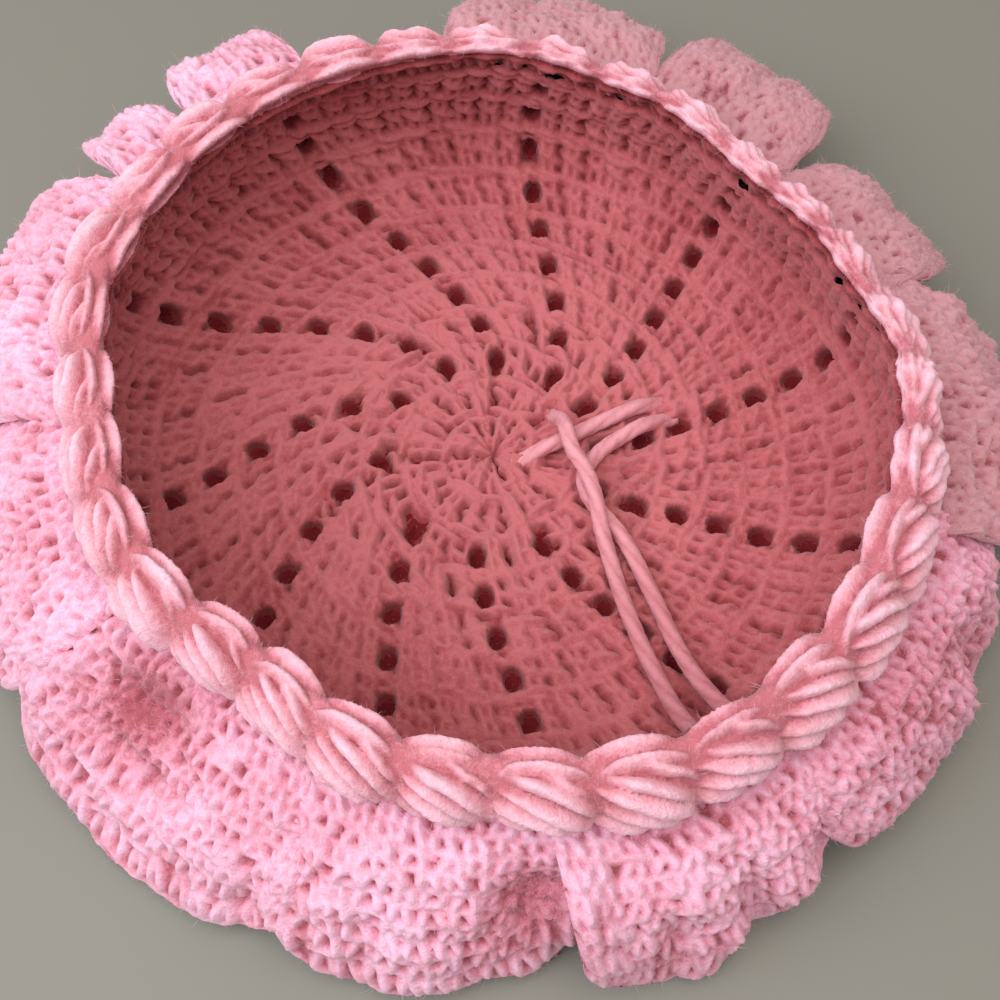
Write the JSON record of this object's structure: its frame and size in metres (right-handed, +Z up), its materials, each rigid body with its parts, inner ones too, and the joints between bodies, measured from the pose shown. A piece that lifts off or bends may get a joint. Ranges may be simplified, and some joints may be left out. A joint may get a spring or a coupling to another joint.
{
  "type": "crocheted hat",
  "caption": "Small crocheted hat lying on its crown with the opening up, with eyelet spirals, a puff stitch rim and rounded petals flopped out around it.",
  "frame": {"origin": "centre of the bounding box on the surface that the hat lies on", "axes": "+Z up out of the opening, -Y towards the viewer of the picture, +X to the viewer's right"},
  "size_m": [0.2086, 0.2072, 0.0414],
  "materials": {
    "crown_yarn": "soft matt acrylic yarn",
    "puff_yarn": "soft matt acrylic yarn",
    "petal_yarn": "soft matt acrylic yarn",
    "loose_yarn": "soft matt acrylic yarn"
  },
  "bodies": {
    "root": {"crown": "crown_yarn", "puff_rim": "puff_yarn", "petal_01": "petal_yarn", "petal_02": "petal_yarn", "petal_03": "petal_yarn", "petal_04": "petal_yarn", "petal_05": "petal_yarn", "petal_06": "petal_yarn", "petal_07": "petal_yarn", "petal_08": "petal_yarn", "petal_09": "petal_yarn", "petal_10": "petal_yarn", "petal_11": "petal_yarn", "petal_12": "petal_yarn", "petal_13": "petal_yarn", "yarn_end_1": "loose_yarn", "yarn_end_2": "loose_yarn", "yarn_end_3": "loose_yarn"}
  },
  "joints": []
}
